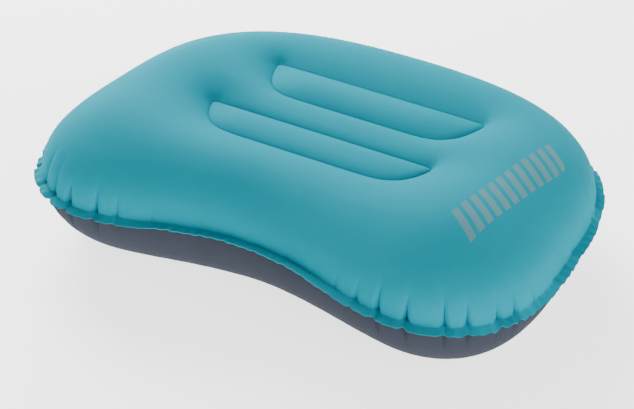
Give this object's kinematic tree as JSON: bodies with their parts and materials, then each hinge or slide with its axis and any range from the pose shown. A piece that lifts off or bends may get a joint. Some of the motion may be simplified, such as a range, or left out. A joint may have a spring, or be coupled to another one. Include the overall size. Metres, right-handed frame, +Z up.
{
  "type": "camp pillow",
  "caption": "Inflatable camp pillow: domed fabric top over a grey base, hollowed neck edge, quilted middle with weld loops, and a flip-open air valve under the back edge.",
  "frame": {"origin": "middle of the bounding box in plan, at the ground the inflated pillow lies on", "axes": "+X along the pillow's length, +Y towards the straight back edge and away from the hollowed neck edge, +Z up"},
  "size_m": [0.4199, 0.2999, 0.1123],
  "materials": {
    "teal_fabric": "brushed",
    "grey_fabric": "brushed",
    "tie_film": "smooth",
    "valve_plastic": "satin",
    "cap_plastic": "satin",
    "silicone": "smooth"
  },
  "bodies": {
    "pillow": {"top_shell": "teal_fabric", "bottom_shell": "grey_fabric", "tie_sleeve_back": "tie_film", "tie_sleeve_front": "tie_film", "valve_base": "valve_plastic", "plug_tether": "valve_plastic"},
    "plug": {"valve_plug": "valve_plastic"},
    "flap": {"check_flap": "silicone"},
    "cap": {"valve_cap": "cap_plastic"}
  },
  "joints": [
    {"name": "plug_hinge", "type": "hinge", "parent": "pillow", "child": "plug", "pos_m": [-0.11607, 0.11276, 0.02409], "axis": [-0.1681, 0.674, 0.7193], "range_deg": [0, 110]},
    {"name": "cap_hinge", "type": "hinge", "parent": "plug", "child": "cap", "pos_m": [-0.10216, 0.12808, 0.03384], "axis": [0.9703, 0.2419, 0], "range_deg": [0, 130]},
    {"name": "flap_lift", "type": "slide", "parent": "plug", "child": "flap", "axis": [0.174, -0.698, 0.6947], "range_m": [0, 0.0011], "stiffness_N_per_m": 30}
  ]
}
